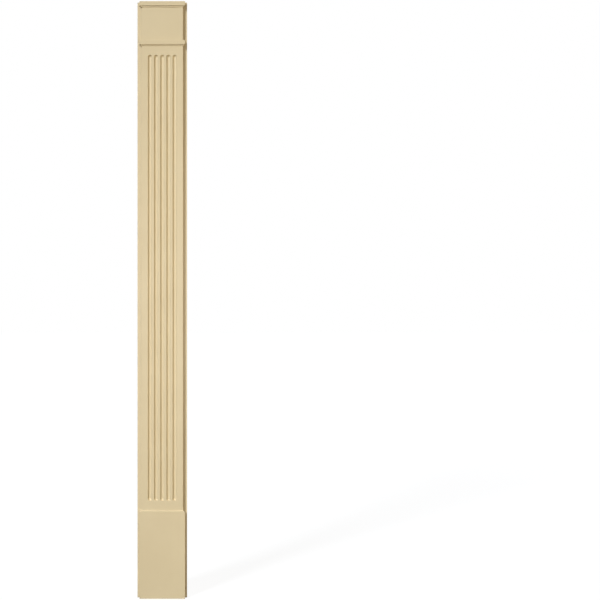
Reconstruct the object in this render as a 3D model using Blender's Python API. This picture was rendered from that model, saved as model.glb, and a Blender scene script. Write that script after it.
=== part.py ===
"""A fluted pilaster, moulded in one piece, at its real size.

It is a flat board with a raised shaft on its face. Five round-ended flutes run down the shaft. The
shaft stands on a tall plain base and is crowned by two square mouldings with a plain neck between
them. X runs across the face, the face looks along -Y and Z is up. The origin is in the middle of
the flat back, which lies against the wall.
"""
import math

import bmesh
import bpy
from mathutils import Vector

# Overall sizes, in metres
HEIGHT = 2.7432             # 108 in, the ends are cut off flat
FLANGE_WIDTH = 0.2286       # 9 in
FLANGE_THICKNESS = 0.0269875

# Shaft
SHAFT_WIDTH = 0.1905        # 7 1/2 in
SHAFT_RELIEF = 0.0174625    # from the flange's face to the shaft's face

# Mouldings and base, which stand proud of the shaft
MOULDING_FRONT_STEP = 0.00635
BASE_FRONT_STEP = 0.0047625
SIDE_STEP = 0.009525

# Square moulding, a fascia over a narrow fillet
FASCIA_HEIGHT = 0.01984375
FILLET_HEIGHT = 0.00555625  # the moulding is 1 in high
FILLET_FRONT_STEP = 0.003175
FILLET_SIDE_STEP = 0.0040
BAND_DROP = 0.1778          # from the top of the pilaster to the top of the lower moulding

# Base, with its top sloped at 45 degrees
BASE_HEIGHT = 0.4064

# Flutes
FLUTE_COUNT = 5
FLUTE_RADIUS = 0.00925      # round bottom and round ends, as from a ball-nosed tool
FLUTE_DEPTH = 0.0083
FLUTE_PITCH = 0.0284
FLUTE_MARGIN = 0.0420       # plain shaft left above and below the flutes
FLUTE_FACETS = 20           # round a flute's section, an even number

# Arrises, softened by the mould
ARRIS_WIDTH = 0.0008
ARRIS_FACETS = 2

MERGE_DISTANCE = 0.00001

FINISH_COLOUR = (0.72, 0.59, 0.38, 1.0)
FINISH_ROUGHNESS = 0.55

# Places that follow from the sizes
BACK_Y = 0.0
FLANGE_Y = BACK_Y - FLANGE_THICKNESS
SHAFT_Y = FLANGE_Y - SHAFT_RELIEF
ROOT_Y = BACK_Y - FLANGE_THICKNESS / 2
TOP_Z = HEIGHT / 2
FOOT_Z = -HEIGHT / 2
BASE_TOP_Z = FOOT_Z + BASE_HEIGHT
BAND_TOP_Z = TOP_Z - BAND_DROP


def collection_named(name):
    """Make a collection in the scene and return it."""
    made = bpy.data.collections.new(name)
    bpy.context.scene.collection.children.link(made)
    return made


def finish_material():
    """The pale tan coat that covers the whole moulding."""
    material = bpy.data.materials.new("tan_coat")
    material.use_nodes = True
    shader = material.node_tree.nodes["Principled BSDF"]
    shader.inputs["Base Color"].default_value = FINISH_COLOUR
    shader.inputs["Roughness"].default_value = FINISH_ROUGHNESS
    shader.inputs["Metallic"].default_value = 0.0
    return material


def mesh_object(name, mesh_builder, collection):
    """Turn a bmesh into an object in a collection."""
    mesh = bpy.data.meshes.new(name)
    mesh_builder.to_mesh(mesh)
    mesh_builder.free()
    made = bpy.data.objects.new(name, mesh)
    collection.objects.link(made)
    return made


def as_cutter(cutter):
    """Show a joining or cutting solid as a wire only."""
    cutter.hide_render = True
    cutter.display_type = "WIRE"
    return cutter


def block(low, high):
    """A box between two corners. Blocks that end on one plane get the very same coordinate."""
    built = bmesh.new()
    bmesh.ops.create_cube(built, size=1.0)
    for vertex in built.verts:
        vertex.co = [b if place > 0 else a for a, b, place in zip(low, high, vertex.co)]
    return built


def soften_arrises(built):
    """Round a block's edges, but not those at its root or at the pilaster's sawn ends."""
    root = max(vertex.co.y for vertex in built.verts)

    def is_moulded(edge):
        at_root = all(vertex.co.y > root - MERGE_DISTANCE for vertex in edge.verts)
        at_end = all(abs(vertex.co.z) > TOP_Z - MERGE_DISTANCE for vertex in edge.verts)
        return not at_root and not at_end

    moulded = [edge for edge in built.edges if is_moulded(edge)]
    bmesh.ops.bevel(built, geom=moulded, offset=ARRIS_WIDTH, offset_type="OFFSET",
                    segments=ARRIS_FACETS, profile=0.5, affect="EDGES")
    return built


def raised_block(bottom_z, top_z, side_step, front_step):
    """A block rooted in the flange that stands proud of the shaft by the two steps."""
    half = SHAFT_WIDTH / 2 + side_step
    return block((-half, SHAFT_Y - front_step, bottom_z), (half, ROOT_Y, top_z))


def slice_off(built, point, normal):
    """Cut away what lies past a plane, and close the cut."""
    everything = built.verts[:] + built.edges[:] + built.faces[:]
    cut = bmesh.ops.bisect_plane(built, geom=everything, plane_co=point, plane_no=normal,
                                 clear_outer=True)
    rim = [part for part in cut["geom_cut"] if isinstance(part, bmesh.types.BMEdge)]
    bmesh.ops.contextual_create(built, geom=rim)


def base_block():
    """The plain base. Its front and side top edges slope at 45 degrees from the shaft's faces."""
    built = raised_block(FOOT_Z, BASE_TOP_Z + BASE_FRONT_STEP, SIDE_STEP, BASE_FRONT_STEP)
    slice_off(built, Vector((0.0, SHAFT_Y, BASE_TOP_Z)), Vector((0.0, -1.0, 1.0)).normalized())
    for side in (-1, 1):
        edge = Vector((side * SHAFT_WIDTH / 2, 0.0, BASE_TOP_Z))
        slice_off(built, edge, Vector((side, 0.0, 1.0)).normalized())
    return built


def square_moulding(name, top_z):
    """A fascia with a narrow fillet under it, returned on both sides."""
    fascia_foot = top_z - FASCIA_HEIGHT
    fillet_foot = fascia_foot - FILLET_HEIGHT
    fillet_root = top_z - FASCIA_HEIGHT / 2
    return {
        name + "_fascia": raised_block(fascia_foot, top_z, SIDE_STEP, MOULDING_FRONT_STEP),
        name + "_fillet": raised_block(fillet_foot, fillet_root, FILLET_SIDE_STEP,
                                       FILLET_FRONT_STEP),
    }


def add_line(built, points):
    """Add a run of edges through some points, and return its geometry."""
    corners = [built.verts.new(point) for point in points]
    return corners + [built.edges.new(pair) for pair in zip(corners, corners[1:])]


def open_edges(built):
    """The edges with a face on one side only."""
    return [edge for edge in built.edges if edge.is_boundary]


def moved(built, drawn, vector):
    """Move the points of what was just drawn out."""
    points = [part for part in drawn["geom"] if isinstance(part, bmesh.types.BMVert)]
    bmesh.ops.translate(built, verts=points, vec=vector)


def tool_section(last_step, centre_z):
    """Points round the tool's nose, from its right side through its tip."""
    points = []
    for step in range(last_step + 1):
        turn = math.pi * step / FLUTE_FACETS
        points.append(Vector((FLUTE_RADIUS * math.cos(turn), FLUTE_RADIUS * math.sin(turn),
                              centre_z)))
    return points


def flute_cutter(name, middle_x, collection):
    """The path of a ball-nosed tool that digs one round-ended flute into the shaft's face."""
    high = BAND_TOP_Z - FASCIA_HEIGHT - FILLET_HEIGHT - FLUTE_MARGIN
    low = BASE_TOP_Z + FLUTE_MARGIN
    reach = (high - low) / 2 - FLUTE_RADIUS
    built = bmesh.new()

    trough = add_line(built, tool_section(FLUTE_FACETS, -reach))
    edges = [part for part in trough if isinstance(part, bmesh.types.BMEdge)]
    moved(built, bmesh.ops.extrude_edge_only(built, edges=edges), (0.0, 0.0, 2 * reach))
    for end in (-1, 1):
        nose = add_line(built, tool_section(FLUTE_FACETS // 2, end * reach))
        bmesh.ops.spin(built, geom=nose, cent=(0.0, 0.0, end * reach), axis=(0.0, 1.0, 0.0),
                       angle=-end * math.pi, steps=FLUTE_FACETS)
    bmesh.ops.remove_doubles(built, verts=built.verts[:], dist=MERGE_DISTANCE)

    forward = (0.0, -FLUTE_DEPTH - FLUTE_RADIUS, 0.0)
    moved(built, bmesh.ops.extrude_edge_only(built, edges=open_edges(built)), forward)
    bmesh.ops.contextual_create(built, geom=open_edges(built))
    bmesh.ops.recalc_face_normals(built, faces=built.faces[:])
    middle = Vector((middle_x, SHAFT_Y + FLUTE_DEPTH - FLUTE_RADIUS, (high + low) / 2))
    bmesh.ops.translate(built, verts=built.verts[:], vec=middle)
    cutter = as_cutter(mesh_object(name, built, collection))
    cutter.data.shade_smooth()
    return cutter


def add_boolean(target, operand, operation):
    """Join a solid to the target or cut it out."""
    modifier = target.modifiers.new(operand.name, "BOOLEAN")
    modifier.operation = operation
    modifier.solver = "EXACT"
    modifier.object = operand


def main():
    """Build the pilaster."""
    for old in list(bpy.data.objects):
        bpy.data.objects.remove(old, do_unlink=True)
    parts = collection_named("fluted_pilaster")
    cutters = collection_named("cutters")

    half = FLANGE_WIDTH / 2
    flange = block((-half, FLANGE_Y, FOOT_Z), (half, BACK_Y, TOP_Z))
    pilaster = mesh_object("pilaster", soften_arrises(flange), parts)
    pilaster.data.materials.append(finish_material())

    raised = {"shaft": raised_block(FOOT_Z, TOP_Z, 0.0, 0.0), "base": base_block()}
    raised.update(square_moulding("cap", TOP_Z))
    raised.update(square_moulding("band", BAND_TOP_Z))
    for name, built in raised.items():
        solid = as_cutter(mesh_object(name, soften_arrises(built), cutters))
        add_boolean(pilaster, solid, "UNION")

    first_x = -FLUTE_PITCH * (FLUTE_COUNT - 1) / 2
    for index in range(FLUTE_COUNT):
        cutter = flute_cutter(f"flute_{index + 1}", first_x + index * FLUTE_PITCH, cutters)
        add_boolean(pilaster, cutter, "DIFFERENCE")
    weld = pilaster.modifiers.new("weld", "WELD")
    weld.merge_threshold = MERGE_DISTANCE


main()
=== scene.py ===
"""A fluted pilaster with its finished surface and a plain studio.

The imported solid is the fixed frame. The moulding is modelled again over it at the same sizes, with
rounder flutes and softened arrises, and gets its coat of tan primer. A studio operator adds the
floor, the lights and the camera.
"""

import math
from contextlib import contextmanager

import bpy
from bpy.props import FloatProperty, FloatVectorProperty, IntProperty, PointerProperty
from bpy.types import Operator, Panel, PropertyGroup
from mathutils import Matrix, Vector


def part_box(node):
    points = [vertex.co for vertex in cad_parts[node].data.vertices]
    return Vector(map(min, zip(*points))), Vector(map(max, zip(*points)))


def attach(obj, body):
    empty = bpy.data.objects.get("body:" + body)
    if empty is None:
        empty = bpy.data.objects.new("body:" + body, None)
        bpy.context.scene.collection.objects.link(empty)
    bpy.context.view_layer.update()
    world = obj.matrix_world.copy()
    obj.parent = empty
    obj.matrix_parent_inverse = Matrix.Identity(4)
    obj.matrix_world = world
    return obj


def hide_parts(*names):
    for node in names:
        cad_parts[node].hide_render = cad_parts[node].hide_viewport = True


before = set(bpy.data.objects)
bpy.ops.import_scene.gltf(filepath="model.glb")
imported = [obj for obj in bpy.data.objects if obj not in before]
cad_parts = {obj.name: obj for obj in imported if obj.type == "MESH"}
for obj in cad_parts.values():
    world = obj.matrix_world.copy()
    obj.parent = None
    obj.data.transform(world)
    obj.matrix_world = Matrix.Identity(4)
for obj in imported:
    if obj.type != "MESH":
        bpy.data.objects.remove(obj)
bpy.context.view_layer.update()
LOW, HIGH = (Vector(corner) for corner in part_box("pilaster"))

bl_info = {
    "name": "Fluted Pilaster",
    "version": (1, 0, 0),
    "blender": (4, 5, 0),
    "location": "3D Viewport > Sidebar > Pilaster",
    "description": "Models a moulded fluted pilaster, its coat and a plain studio",
    "category": "Object",
}

NODE = "pilaster"

# Modelling, in metres. Blocks run past the sawn ends by one, two or three saw allowances, so that no
# two of them end on one plane before the ends are cut off flat
SAW_ALLOWANCE = 0.01
PLACE_TOLERANCE = 0.00005
MERGE_DISTANCE = 0.00001
LOOKS_FORWARD = -0.9        # a face looks forward if its normal's Y is below this
FLAT_ANGLE = math.radians(0.05)
SHARP_ANGLE = math.radians(25)
SMOOTH_ANGLE = math.radians(40)
FULL_WEIGHT = 100           # large faces lead the shading, small ones follow

# Noises in the coat: cells to the metre, octaves finer than the first and how much each one adds
CLOUDS = (7.0, 3.0, 0.5)
SPRAY = (260.0, 2.0, 0.6)
GRAIN = (1300.0, 2.0, 0.6)
NOISE_MIDDLE = 0.5

# What the noises do. The grain makes up the rest of each share
CLOUD_SHARE = 0.8           # of where the coat is thin
SPRAY_SHARE = 0.7           # of the relief
THIN_RANGE = (0.35, 0.65)   # noise at the coat's two colours
CLOUD_ROUGHNESS = 0.10
SPRAY_ROUGHNESS = 0.08
RELIEF_STRENGTH = 0.35
RELIEF_HEIGHT = 0.00012

# Lights, in metres from the middle of the pilaster's back
KEY_DIRECTION = (-0.75, -1.0, 0.73)
KEY_DISTANCE = 4.0
FRONT_LIGHT_PLACE = (0.0, -3.2, 0.0)
FRONT_LIGHT_SIZE = 1.4
FILL_LIGHT_PLACE = (1.58, -2.52, 0.10)
FILL_LIGHT_SIZE = 3.4
REAR_DIRECTION = (0.0, 1.0, 0.3)

# Floor and white ground. The floor's glow and the light on it together come near to white
WHITE = (1.0, 1.0, 1.0, 1.0)
FLOOR_SIZE = 80.0
FLOOR_GREY = (0.15, 0.15, 0.15, 1.0)
FLOOR_ROUGHNESS = 0.9
FLOOR_GLOW = 0.89

# Camera and the photograph's frame, in pixels
SENSOR_WIDTH = 36.0         # millimetres
CAMERA_REACH = 200.0        # metres
IMAGE_WIDTH = 600
FLANGE_TOP_PIXEL = 2.6
FLANGE_FOOT_PIXEL = 597.55
FLANGE_MIDDLE_PIXEL = 162.3

# Sockets of a Mix node that mixes colours, which share their names with others
MIX_FIRST, MIX_SECOND, MIXED_COLOUR = 6, 7, 2


class MouldingSizes(PropertyGroup):
    """Sizes of the moulding that its outer box doesn't give."""

    flange_thickness: FloatProperty(
        name="Flange thickness", description="From the flat back to the flange's face",
        default=0.0269875, unit="LENGTH")
    shaft_width: FloatProperty(
        name="Shaft width", description="Across the shaft and the neck",
        default=0.1905, unit="LENGTH")
    moulding_front_step: FloatProperty(
        name="Moulding front step", description="How far the mouldings stand in front of the shaft",
        default=0.00635, unit="LENGTH")
    base_front_step: FloatProperty(
        name="Base front step", description="How far the base stands in front of the shaft",
        default=0.0047625, unit="LENGTH")
    side_step: FloatProperty(
        name="Side step", description="How far the mouldings and the base stand out at each side",
        default=0.009525, unit="LENGTH")
    fascia_height: FloatProperty(
        name="Fascia height", description="Height of the flat band of a square moulding",
        default=0.01984375, unit="LENGTH")
    fillet_height: FloatProperty(
        name="Fillet height", description="Height of the narrow step under a fascia",
        default=0.00555625, unit="LENGTH")
    fillet_front_step: FloatProperty(
        name="Fillet front step", description="How far the fillet stands in front of the shaft",
        default=0.003175, unit="LENGTH")
    fillet_side_step: FloatProperty(
        name="Fillet side step", description="How far the fillet stands out at each side",
        default=0.0040, unit="LENGTH")
    band_drop: FloatProperty(
        name="Band drop", description="From the top of the pilaster to the top of its band",
        default=0.1778, unit="LENGTH")
    base_height: FloatProperty(
        name="Base height", description="From the foot to the top of the base's slope",
        default=0.4064, unit="LENGTH")
    flute_count: IntProperty(
        name="Flutes", description="Number of flutes across the shaft", default=5, min=1)
    flute_radius: FloatProperty(
        name="Flute radius", description="Radius of a flute's round bottom and ends",
        default=0.00925, unit="LENGTH")
    flute_depth: FloatProperty(
        name="Flute depth", description="From the shaft's face to the bottom of a flute",
        default=0.0083, unit="LENGTH")
    flute_pitch: FloatProperty(
        name="Flute pitch", description="From the middle of one flute to the next",
        default=0.0284, unit="LENGTH")
    flute_margin: FloatProperty(
        name="Flute margin", description="Plain shaft above and below the flutes",
        default=0.0420, unit="LENGTH")
    flute_facets: IntProperty(
        name="Flute facets", description="Facets round a flute's section, a multiple of four",
        default=32, min=8)
    arris_width: FloatProperty(
        name="Arris width", description="Width of the softening along edges and in corners",
        default=0.0006, unit="LENGTH")
    arris_facets: IntProperty(
        name="Arris facets", description="Facets across a softened edge", default=3, min=1)


class CoatLook(PropertyGroup):
    """The coat of primer."""

    colour: FloatVectorProperty(
        name="Coat", description="The coat's main colour", subtype="COLOR", size=3,
        min=0.0, max=1.0, default=(0.70, 0.575, 0.355))
    thin_colour: FloatVectorProperty(
        name="Thin coat", description="The coat where it lies a little thinner", subtype="COLOR",
        size=3, min=0.0, max=1.0, default=(0.675, 0.55, 0.335))
    roughness: FloatProperty(
        name="Roughness", description="The satin coat's mean roughness", default=0.45,
        min=0.0, max=1.0, subtype="FACTOR")


class StudioLook(PropertyGroup):
    """The studio's lights and camera."""

    camera_distance: FloatProperty(
        name="Camera distance", description="From the flange's face to the camera",
        default=4.95, unit="LENGTH")
    key_strength: FloatProperty(
        name="Key light", description="Strength of the light from the upper left", default=3.13,
        min=0.0)
    key_colour: FloatVectorProperty(
        name="Key colour", description="Colour of the light from the upper left",
        subtype="COLOR", size=3, min=0.0, max=1.0, default=(0.875, 0.925, 1.0))
    key_spread: FloatProperty(
        name="Key spread", description="How wide the key light looks, which softens its shadows",
        default=math.radians(11), subtype="ANGLE")
    front_power: FloatProperty(
        name="Front light", description="Power of the softbox on the camera's axis, in watts",
        default=20.0, min=0.0)
    front_colour: FloatVectorProperty(
        name="Front colour", description="Colour of the softbox on the camera's axis",
        subtype="COLOR", size=3, min=0.0, max=1.0, default=(0.97, 0.95, 1.0))
    fill_power: FloatProperty(
        name="Fill light", description="Power of the wide softbox at the front right, in watts",
        default=36.0, min=0.0)
    fill_colour: FloatVectorProperty(
        name="Fill colour", description="Colour of the wide softbox at the front right",
        subtype="COLOR", size=3, min=0.0, max=1.0, default=(1.0, 0.88, 0.62))
    rear_strength: FloatProperty(
        name="Rear light", description="Strength of the wide light from behind", default=1.0,
        min=0.0)


class Signal:
    """A socket of a node tree, on which Python's sums work."""

    def __init__(self, tree, socket=None):
        self.tree = tree
        self.socket = socket

    def node(self, kind, settings=None, inputs=None, output=0):
        """Add any node: its settings come first, then its sockets get values or links."""
        made = self.tree.nodes.new(kind)
        for name, value in (settings or {}).items():
            setattr(made, name, value)
        for name, value in (inputs or {}).items():
            if isinstance(value, Signal):
                self.tree.links.new(value.socket, made.inputs[name])
            else:
                made.inputs[name].default_value = value
        return Signal(self.tree, made.outputs[output])

    def _sum(self, operation, first, second):
        return self.node("ShaderNodeMath", {"operation": operation}, {0: first, 1: second})

    def __add__(self, other):
        return self._sum("ADD", self, other)

    def __radd__(self, other):
        return self._sum("ADD", other, self)

    def __sub__(self, other):
        return self._sum("SUBTRACT", self, other)

    def __rsub__(self, other):
        return self._sum("SUBTRACT", other, self)

    def __mul__(self, other):
        return self._sum("MULTIPLY", self, other)

    def __rmul__(self, other):
        return self._sum("MULTIPLY", other, self)

    def mixed(self, first, second):
        """The first colour where this signal is 0, the second where it is 1."""
        return self.node("ShaderNodeMix", {"data_type": "RGBA"},
                         {"Factor": self, MIX_FIRST: first, MIX_SECOND: second},
                         output=MIXED_COLOUR)


def clear_selection():
    """Deselect everything, the frame's solids among it."""
    bpy.ops.object.select_all(action="DESELECT")


def activate(piece):
    """Select one piece alone and make it the active one."""
    clear_selection()
    piece.select_set(True)
    bpy.context.view_layer.objects.active = piece


def settle():
    """Put the active piece's place, turn and scale into its mesh."""
    bpy.ops.object.transform_apply(location=True, rotation=True, scale=True)


@contextmanager
def editing(piece):
    """Work on one piece in edit mode, and go back to object mode."""
    activate(piece)
    bpy.ops.object.mode_set(mode="EDIT")
    yield
    bpy.ops.object.mode_set(mode="OBJECT")


def select_faces(piece, wanted):
    """Select only the faces that a test picks."""
    with editing(piece):
        bpy.ops.mesh.select_mode(type="FACE")
        bpy.ops.mesh.select_all(action="DESELECT")
    for face in piece.data.polygons:
        face.select = wanted(face)


def slice_off(piece, point, normal):
    """Cut away what lies past a plane, and close the cut."""
    with editing(piece):
        bpy.ops.mesh.select_all(action="SELECT")
        bpy.ops.mesh.bisect(plane_co=point, plane_no=normal, use_fill=True, clear_outer=True)


def add_block(name, low, high):
    """A box between two corners."""
    clear_selection()
    low, high = Vector(low), Vector(high)
    bpy.ops.mesh.primitive_cube_add(size=1.0, location=(low + high) / 2, scale=high - low)
    block = bpy.context.active_object
    block.name = name
    settle()
    return block


def combine(piece, tool, operation):
    """Join a solid to the piece or cut it out, and throw the solid away."""
    activate(piece)
    modifier = piece.modifiers.new(operation.lower(), "BOOLEAN")
    modifier.operation = operation
    modifier.solver = "EXACT"
    modifier.object = tool
    bpy.ops.object.modifier_apply(modifier=modifier.name)
    bpy.data.objects.remove(tool, do_unlink=True)


class Profile:
    """Places on the moulding, worked out from its box and its sizes."""

    def __init__(self, sizes):
        self.sizes = sizes
        self.flange_y = HIGH.y - sizes.flange_thickness
        self.shaft_y = LOW.y + sizes.moulding_front_step
        self.root_y = HIGH.y - sizes.flange_thickness / 2
        self.base_top = LOW.z + sizes.base_height
        self.band_top = HIGH.z - sizes.band_drop
        self.flute_top = (self.band_top - sizes.fascia_height - sizes.fillet_height
                          - sizes.flute_margin)
        self.flute_foot = self.base_top + sizes.flute_margin

    def flange(self):
        """The flat board that carries the rest. It becomes the finished piece."""
        past = 3 * SAW_ALLOWANCE
        return add_block("fluted_moulding", (LOW.x, self.flange_y, LOW.z - past),
                         (HIGH.x, HIGH.y, HIGH.z + past))

    def raised(self, name, bottom, top, side_step, front_step):
        """A block rooted in the flange that stands proud of the shaft by two steps."""
        half = self.sizes.shaft_width / 2 + side_step
        return add_block(name, (-half, self.shaft_y - front_step, bottom),
                         (half, self.root_y, top))

    def shaft(self):
        """The flat shaft, which is also the neck between the band and the cap."""
        past = 2 * SAW_ALLOWANCE
        return self.raised("shaft", LOW.z - past, HIGH.z + past, 0.0, 0.0)

    def base(self):
        """The plain base, with its front and side top edges sloped at 45 degrees."""
        sizes = self.sizes
        block = self.raised("base", LOW.z - SAW_ALLOWANCE, self.base_top + sizes.base_front_step,
                            sizes.side_step, sizes.base_front_step)
        slice_off(block, (0.0, self.shaft_y, self.base_top), (0.0, -1.0, 1.0))
        for side in (-1, 1):
            edge = (side * sizes.shaft_width / 2, 0.0, self.base_top)
            slice_off(block, edge, (side, 0.0, 1.0))
        return block

    def square_moulding(self, name, top, allowance):
        """A fascia with a narrow fillet under it. An allowance runs past its top."""
        sizes = self.sizes
        foot = top - sizes.fascia_height
        fascia = self.raised(name + "_fascia", foot, top + allowance,
                             sizes.side_step, sizes.moulding_front_step)
        fillet = self.raised(name + "_fillet", foot - sizes.fillet_height,
                             foot + sizes.fascia_height / 2,
                             sizes.fillet_side_step, sizes.fillet_front_step)
        return [fascia, fillet]

    def flute_tool(self):
        """The path of a ball-nosed tool along one flute, in the middle of the shaft."""
        sizes = self.sizes
        radius = sizes.flute_radius
        clear_selection()
        bpy.ops.mesh.primitive_uv_sphere_add(
            segments=2 * sizes.flute_facets, ring_count=sizes.flute_facets, radius=radius,
            location=(0.0, 0.0, 0.0), rotation=(math.pi / 2, 0.0, 0.0))
        tool = bpy.context.active_object
        tool.name = "flute_tool"
        settle()

        # Pull the ball's upper half up, and close the gap
        run = self.flute_top - self.flute_foot - 2 * radius
        select_faces(tool, lambda face: face.center.z > 0)
        with editing(tool):
            bpy.ops.mesh.split()
            bpy.ops.transform.translate(value=(0.0, 0.0, run))
            bpy.ops.mesh.select_all(action="DESELECT")
            bpy.ops.mesh.select_mode(type="EDGE")
            bpy.ops.mesh.select_non_manifold()
            bpy.ops.mesh.bridge_edge_loops()

        # Make the front half straight, so that the tool cuts its way out of the shaft
        slice_off(tool, (0.0, 0.0, 0.0), (0.0, -1.0, 0.0))
        select_faces(tool, lambda face: face.center.y < PLACE_TOLERANCE
                     and face.normal.y < LOOKS_FORWARD)
        reach = sizes.flute_depth + radius
        with editing(tool):
            bpy.ops.mesh.extrude_region_move(TRANSFORM_OT_translate={"value": (0.0, -reach, 0.0)})
            bpy.ops.mesh.select_all(action="SELECT")
            bpy.ops.mesh.normals_make_consistent(inside=False)
        tool.location = (0.0, self.shaft_y + sizes.flute_depth - radius, self.flute_foot + radius)
        settle()
        return tool

    def flute_tools(self):
        """A tool's path for every flute, joined in one object."""
        sizes = self.sizes
        first = self.flute_tool()
        start = -sizes.flute_pitch * (sizes.flute_count - 1) / 2
        paths = [first]
        for _ in range(sizes.flute_count - 1):
            path = first.copy()
            path.data = first.data.copy()
            bpy.context.collection.objects.link(path)
            paths.append(path)
        for index, path in enumerate(paths):
            path.location.x = start + index * sizes.flute_pitch
        clear_selection()
        for path in paths:
            path.select_set(True)
        bpy.context.view_layer.objects.active = first
        settle()
        bpy.ops.object.join()
        return first


def soften_arrises(piece, width, facets):
    """Round the moulded edges and inner corners, but not the sawn ends or the back's rim."""
    with editing(piece):
        bpy.ops.mesh.select_mode(type="EDGE")
        bpy.ops.mesh.select_all(action="DESELECT")
        bpy.ops.mesh.edges_select_sharp(sharpness=SHARP_ANGLE)
    points = piece.data.vertices
    for edge in piece.data.edges:
        ends = [points[index].co for index in edge.vertices]
        at_back = all(abs(end.y - HIGH.y) < PLACE_TOLERANCE for end in ends)
        at_head = all(abs(end.z - HIGH.z) < PLACE_TOLERANCE for end in ends)
        at_foot = all(abs(end.z - LOW.z) < PLACE_TOLERANCE for end in ends)
        if at_back or at_head or at_foot:
            edge.select = False
    with editing(piece):
        bpy.ops.mesh.bevel(offset_type="OFFSET", offset=width, segments=facets, profile=0.5,
                           affect="EDGES", clamp_overlap=False)


def clean_surface(piece):
    """Merge doubles and seams in flat faces, so that only real edges are left."""
    with editing(piece):
        bpy.ops.mesh.select_all(action="SELECT")
        bpy.ops.mesh.remove_doubles(threshold=MERGE_DISTANCE)
        bpy.ops.mesh.dissolve_limited(angle_limit=FLAT_ANGLE)
        bpy.ops.mesh.normals_make_consistent(inside=False)


def shade(piece):
    """Smooth shading that keeps the flats flat and the sawn edges sharp."""
    activate(piece)
    bpy.ops.object.shade_smooth_by_angle(angle=SMOOTH_ANGLE)
    modifier = piece.modifiers.new("weighted_normals", "WEIGHTED_NORMAL")
    modifier.mode = "FACE_AREA"
    modifier.weight = FULL_WEIGHT
    modifier.keep_sharp = True
    bpy.ops.object.modifier_apply(modifier=modifier.name)


def noise(place, scale, detail, roughness):
    """A signal that wanders softly round a middle value."""
    return place.node("ShaderNodeTexNoise", {}, {"Vector": place, "Scale": scale, "Detail": detail,
                                                 "Roughness": roughness})


def coat_material(look):
    """Sprayed tan primer: faint clouding, a fine grain and a satin sheen that varies a little."""
    material = bpy.data.materials.new("tan_primer_coat")
    material.use_nodes = True
    tree = material.node_tree
    start = Signal(tree)

    place = start.node("ShaderNodeTexCoord", output="Object")
    clouds = noise(place, *CLOUDS)
    spray = noise(place, *SPRAY)
    grain = noise(place, *GRAIN)
    unevenness = clouds * CLOUD_SHARE + grain * (1.0 - CLOUD_SHARE)
    thinness = start.node("ShaderNodeMapRange", {},
                          {"Value": unevenness, "From Min": THIN_RANGE[0],
                           "From Max": THIN_RANGE[1]})
    colour = thinness.mixed((*look.colour, 1.0), (*look.thin_colour, 1.0))
    roughness = (look.roughness + (clouds - NOISE_MIDDLE) * CLOUD_ROUGHNESS
                 + (spray - NOISE_MIDDLE) * SPRAY_ROUGHNESS)
    relief = spray * SPRAY_SHARE + grain * (1.0 - SPRAY_SHARE)
    bump = start.node("ShaderNodeBump", {}, {"Strength": RELIEF_STRENGTH,
                                             "Distance": RELIEF_HEIGHT, "Height": relief})
    shader = tree.nodes["Principled BSDF"]
    for name, signal in (("Base Color", colour), ("Roughness", roughness), ("Normal", bump)):
        tree.links.new(signal.socket, shader.inputs[name])
    return material


class PILASTER_OT_moulding(Operator):
    """Model the moulding with its flutes and softened arrises, and give it its coat"""

    bl_idname = "pilaster.moulding"
    bl_label = "Moulding"

    def execute(self, context):
        sizes = context.scene.pilaster_sizes
        profile = Profile(sizes)
        piece = profile.flange()
        blocks = [profile.shaft(), profile.base()]
        blocks += profile.square_moulding("cap", HIGH.z, SAW_ALLOWANCE)
        blocks += profile.square_moulding("band", profile.band_top, 0.0)
        for block in blocks:
            combine(piece, block, "UNION")
        slice_off(piece, (0.0, 0.0, HIGH.z), (0.0, 0.0, 1.0))
        slice_off(piece, (0.0, 0.0, LOW.z), (0.0, 0.0, -1.0))
        combine(piece, profile.flute_tools(), "DIFFERENCE")
        clean_surface(piece)
        soften_arrises(piece, sizes.arris_width, sizes.arris_facets)
        shade(piece)
        piece.data.materials.clear()
        piece.data.materials.append(coat_material(context.scene.pilaster_coat))
        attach(piece, "root")
        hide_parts(NODE)
        return {"FINISHED"}


def floor_material():
    """A pale floor that stays near white."""
    material = bpy.data.materials.new("pale_floor")
    material.use_nodes = True
    inputs = material.node_tree.nodes["Principled BSDF"].inputs
    inputs["Base Color"].default_value = FLOOR_GREY
    inputs["Roughness"].default_value = FLOOR_ROUGHNESS
    inputs["Specular IOR Level"].default_value = 0.0
    inputs["Emission Color"].default_value = WHITE
    inputs["Emission Strength"].default_value = FLOOR_GLOW
    return material


def add_floor():
    """The floor under the pilaster's foot, which throws no light back on it."""
    clear_selection()
    bpy.ops.mesh.primitive_plane_add(size=FLOOR_SIZE, location=(0.0, 0.0, LOW.z))
    floor = bpy.context.active_object
    floor.name = "floor"
    floor.data.materials.append(floor_material())
    floor.visible_diffuse = False
    floor.visible_glossy = False


def light_world(look):
    """Wide, soft light from behind, and a white ground that only the camera sees."""
    world = bpy.data.worlds.new("studio")
    world.use_nodes = True
    tree = world.node_tree
    start = Signal(tree)
    direction = start.node("ShaderNodeTexCoord", output="Generated")
    facing = start.node("ShaderNodeVectorMath", {"operation": "DOT_PRODUCT"},
                        {0: direction, 1: Vector(REAR_DIRECTION).normalized()}, output="Value")
    behind = start.node("ShaderNodeMath", {"operation": "MAXIMUM"}, {0: facing, 1: 0.0})
    rear = start.node("ShaderNodeBackground", {}, {"Color": WHITE,
                                                   "Strength": behind * look.rear_strength})
    ground = start.node("ShaderNodeBackground", {}, {"Color": WHITE, "Strength": 1.0})
    seen = start.node("ShaderNodeLightPath", output="Is Camera Ray")
    mixed = start.node("ShaderNodeMixShader", {}, {0: seen, 1: rear, 2: ground})
    tree.links.new(mixed.socket, tree.nodes["World Output"].inputs["Surface"])
    bpy.context.scene.world = world


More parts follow.
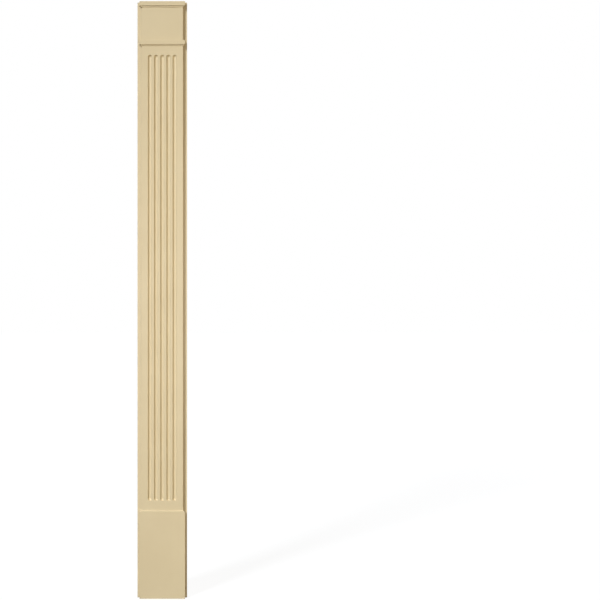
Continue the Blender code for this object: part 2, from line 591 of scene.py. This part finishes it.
def add_key_light(look):
    """The hard light from the upper left."""
    toward_key = Vector(KEY_DIRECTION)
    bpy.ops.object.light_add(type="SUN", location=toward_key * KEY_DISTANCE)
    key = bpy.context.active_object
    key.name = "key_light"
    key.rotation_euler = toward_key.to_track_quat("Z", "Y").to_euler()
    key.data.energy = look.key_strength
    key.data.color = look.key_colour
    key.data.angle = look.key_spread


def add_softbox(name, place, size, power, colour):
    """A round light that faces the pilaster's middle and doesn't show itself."""
    place = Vector(place)
    turn = place.to_track_quat("Z", "Y").to_euler()
    bpy.ops.object.light_add(type="AREA", location=place, rotation=turn)
    light = bpy.context.active_object
    light.name = name
    light.data.shape = "DISK"
    light.data.size = size
    light.data.energy = power
    light.data.color = colour
    light.visible_camera = False


def add_camera(look, flange_y):
    """The camera, square to the face, framed as in the photograph."""
    middle = (HIGH.z + LOW.z) / 2
    bpy.ops.object.camera_add(location=(0.0, flange_y - look.camera_distance, middle),
                              rotation=(math.pi / 2, 0.0, 0.0))
    camera = bpy.context.active_object
    camera.name = "photo_camera"
    pixels_per_metre = (FLANGE_FOOT_PIXEL - FLANGE_TOP_PIXEL) / (HIGH.z - LOW.z)
    camera.data.sensor_width = SENSOR_WIDTH
    camera.data.lens = SENSOR_WIDTH * look.camera_distance * pixels_per_metre / IMAGE_WIDTH
    camera.data.shift_x = (IMAGE_WIDTH / 2 - FLANGE_MIDDLE_PIXEL) / IMAGE_WIDTH
    camera.data.clip_end = CAMERA_REACH
    bpy.context.scene.camera = camera


class PILASTER_OT_studio(Operator):
    """Set the floor, the lights and the camera"""

    bl_idname = "pilaster.studio"
    bl_label = "Studio"

    def execute(self, context):
        look = context.scene.pilaster_studio
        add_floor()
        light_world(look)
        add_key_light(look)
        add_softbox("front_light", FRONT_LIGHT_PLACE, FRONT_LIGHT_SIZE, look.front_power,
                    look.front_colour)
        add_softbox("fill_light", FILL_LIGHT_PLACE, FILL_LIGHT_SIZE, look.fill_power,
                    look.fill_colour)
        add_camera(look, Profile(context.scene.pilaster_sizes).flange_y)
        context.scene.view_settings.view_transform = "Standard"
        context.scene.view_settings.look = "None"
        return {"FINISHED"}


class PILASTER_PT_sidebar(Panel):
    """Lists the operators and their settings."""

    bl_label = "Fluted Pilaster"
    bl_idname = "PILASTER_PT_sidebar"
    bl_space_type = "VIEW_3D"
    bl_region_type = "UI"
    bl_category = "Pilaster"

    def draw(self, context):
        scene = context.scene
        moulding_groups = (scene.pilaster_sizes, scene.pilaster_coat)
        for operator, groups in ((PILASTER_OT_moulding, moulding_groups),
                                 (PILASTER_OT_studio, (scene.pilaster_studio,))):
            box = self.layout.box()
            box.operator(operator.bl_idname)
            for group in groups:
                for name in group.__annotations__:
                    box.prop(group, name)


CLASSES = (MouldingSizes, CoatLook, StudioLook, PILASTER_OT_moulding, PILASTER_OT_studio,
           PILASTER_PT_sidebar)
GROUPS = {"pilaster_sizes": MouldingSizes, "pilaster_coat": CoatLook,
          "pilaster_studio": StudioLook}


def register():
    """Add the classes and the scene's settings."""
    for each in CLASSES:
        bpy.utils.register_class(each)
    for name, group in GROUPS.items():
        setattr(bpy.types.Scene, name, PointerProperty(type=group))


def unregister():
    """Take the settings and the classes away again."""
    for name in GROUPS:
        delattr(bpy.types.Scene, name)
    for each in reversed(CLASSES):
        bpy.utils.unregister_class(each)


def main():
    """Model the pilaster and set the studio."""
    register()
    bpy.ops.pilaster.moulding()
    bpy.ops.pilaster.studio()


if __name__ == "__main__":
    main()
